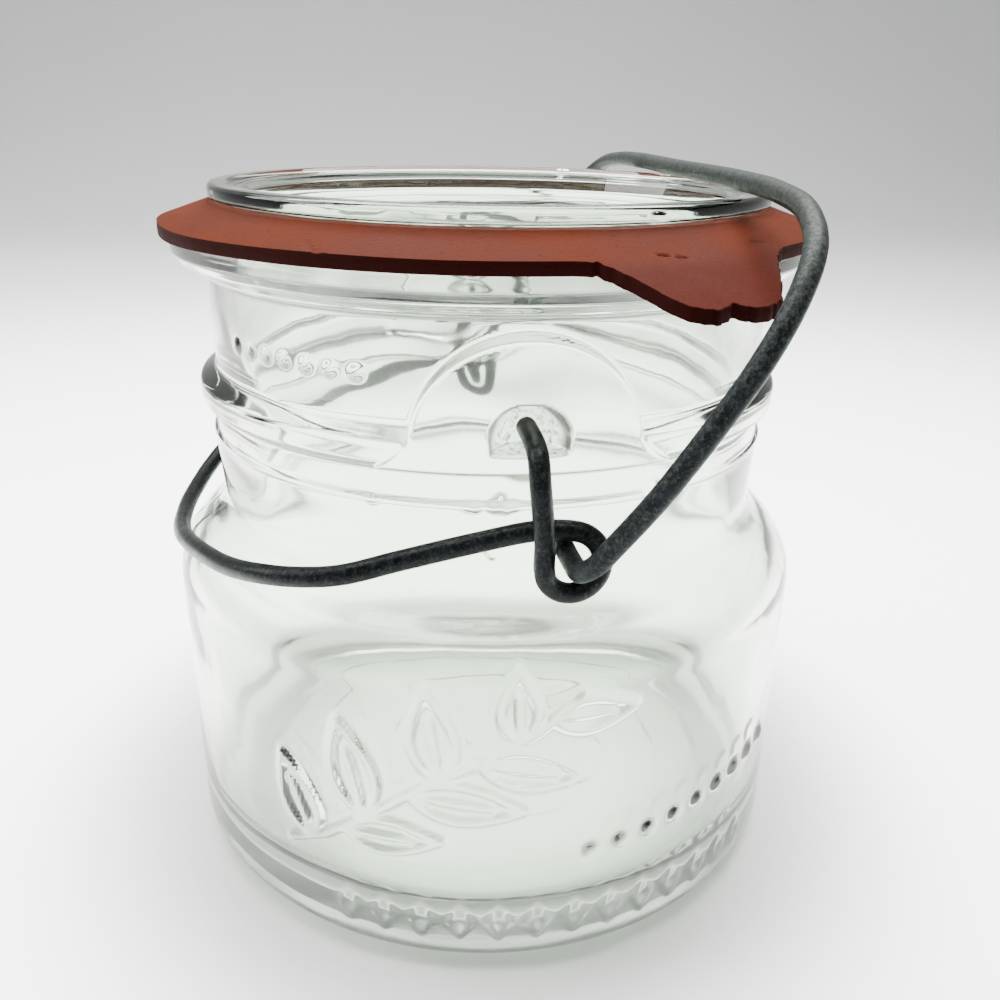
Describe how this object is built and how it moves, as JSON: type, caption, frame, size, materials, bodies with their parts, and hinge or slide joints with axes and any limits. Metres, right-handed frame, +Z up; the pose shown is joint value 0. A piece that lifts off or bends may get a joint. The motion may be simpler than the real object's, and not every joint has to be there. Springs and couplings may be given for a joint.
{
  "type": "wire bail canning jar",
  "caption": "Wide-mouth clear glass canning jar with a glass lid, a red rubber sealing ring with a pull tab, and a wire bail clamped by a wire lever.",
  "frame": {"origin": "middle of the jar's flat base, on the jar's own axis", "axes": "+Z up along the jar's axis; the hinge line through the two neck dimples runs along Y; the lever's bow lies to -X and the bail leans to +X"},
  "size_m": [0.097, 0.121, 0.1036],
  "materials": {
    "clear_glass": "clear pressed glass",
    "lid_glass": "clear pressed glass",
    "red_rubber": "matt, dusty",
    "dark_wire": "dark, tarnished",
    "worn_wire": "dark grey, worn paler on the upper bends"
  },
  "bodies": {
    "jar": {"glass_jar": "clear_glass"},
    "seal": {"rubber_seal": "red_rubber"},
    "lid": {"glass_lid": "lid_glass"},
    "lever": {"lever_wire": "dark_wire"},
    "bail": {"bail_wire": "worn_wire"}
  },
  "joints": [
    {"name": "lever_raise", "type": "hinge", "parent": "jar", "child": "lever", "pos_m": [0, 0, 0.0758], "axis": [0, 1, 0], "range_deg": [0, 90]},
    {"name": "bail_swing", "type": "hinge", "parent": "lever", "child": "bail", "pos_m": [0.00435, 0, 0.0624], "axis": [0, 1, 0], "range_deg": [-117.1, 0]},
    {"name": "lid_lift", "type": "slide", "parent": "jar", "child": "lid", "axis": [0, 0, 1], "range_m": [0, 0.0079]},
    {"name": "seal_lift", "type": "slide", "parent": "jar", "child": "seal", "axis": [0, 0, 1], "range_m": [0, 0.0026]}
  ],
  "couplings": [
    {"joint": "bail_swing", "follows": "lever_raise", "ratio": -1.3},
    {"joint": "lid_lift", "follows": "lever_raise", "m_per_rad": 0.005},
    {"joint": "seal_lift", "follows": "lever_raise", "m_per_rad": 0.0016}
  ]
}
